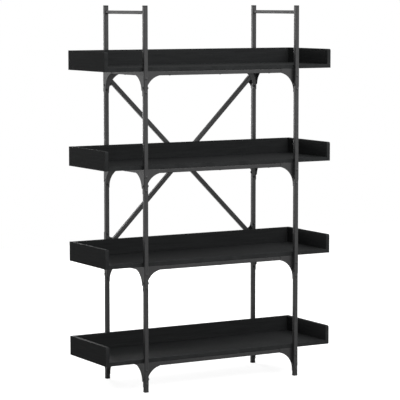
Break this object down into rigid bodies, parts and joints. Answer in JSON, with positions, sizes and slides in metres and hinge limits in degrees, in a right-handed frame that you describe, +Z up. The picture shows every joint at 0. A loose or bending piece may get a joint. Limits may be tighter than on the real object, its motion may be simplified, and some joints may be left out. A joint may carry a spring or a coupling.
{
  "type": "bookcase",
  "caption": "Tall open bookcase with shallow rimmed trays bolted by curved corner brackets to a square-tube frame, with a crossed rear brace and black finish.",
  "frame": {"origin": "centre of the footprint, on the floor", "axes": "+Z up, +Y to the back where the crossed brace is, +X to the right seen from the front"},
  "size_m": [1, 0.3381, 1.455],
  "materials": {
    "black_board": "black laminate on board, satin with a faint wood-pore texture",
    "powder_coat": "semi-gloss black powder coat with a fine texture",
    "black_plastic": "moulded black plastic, matte",
    "black_bolts": "black-oxidised steel fasteners, satin",
    "dowel_wood": "plain fluted beech, unfinished"
  },
  "bodies": {
    "root": {"post_front_left": "powder_coat", "post_front_right": "powder_coat", "post_rear_left": "powder_coat", "post_rear_right": "powder_coat", "foot_front_left": "black_plastic", "foot_front_right": "black_plastic", "foot_rear_left": "black_plastic", "foot_rear_right": "black_plastic", "post_caps": "black_plastic", "top_crossbar_left": "powder_coat", "top_crossbar_right": "powder_coat", "brace_through": "powder_coat", "brace_half_upper": "powder_coat", "brace_half_lower": "powder_coat", "brace_plate_upper_left": "powder_coat", "brace_plate_upper_right": "powder_coat", "brace_plate_lower_left": "powder_coat", "brace_plate_lower_right": "powder_coat", "tray_1_floor": "black_board", "tray_1_back": "black_board", "tray_2_floor": "black_board", "tray_2_back": "black_board", "tray_3_floor": "black_board", "tray_3_back": "black_board", "tray_4_floor": "black_board", "tray_4_back": "black_board", "tray_1_end_left": "black_board", "tray_1_end_right": "black_board", "tray_2_end_left": "black_board", "tray_2_end_right": "black_board", "tray_3_end_left": "black_board", "tray_3_end_right": "black_board", "tray_4_end_left": "black_board", "tray_4_end_right": "black_board", "rail_1_front": "powder_coat", "rail_1_rear": "powder_coat", "rail_2_front": "powder_coat", "rail_2_rear": "powder_coat", "rail_3_front": "powder_coat", "rail_3_rear": "powder_coat", "rail_4_front": "powder_coat", "rail_4_rear": "powder_coat", "rail_1_left": "powder_coat", "rail_1_right": "powder_coat", "rail_2_left": "powder_coat", "rail_2_right": "powder_coat", "rail_3_left": "powder_coat", "rail_3_right": "powder_coat", "rail_4_left": "powder_coat", "rail_4_right": "powder_coat", "corner_brackets_1": "powder_coat", "corner_brackets_2": "powder_coat", "corner_brackets_3": "powder_coat", "corner_brackets_4": "powder_coat", "frame_bolts": "black_bolts", "frame_nuts": "black_bolts", "brace_screws": "black_bolts", "tray_screws": "black_bolts", "board_dowels": "dowel_wood"}
  },
  "joints": []
}
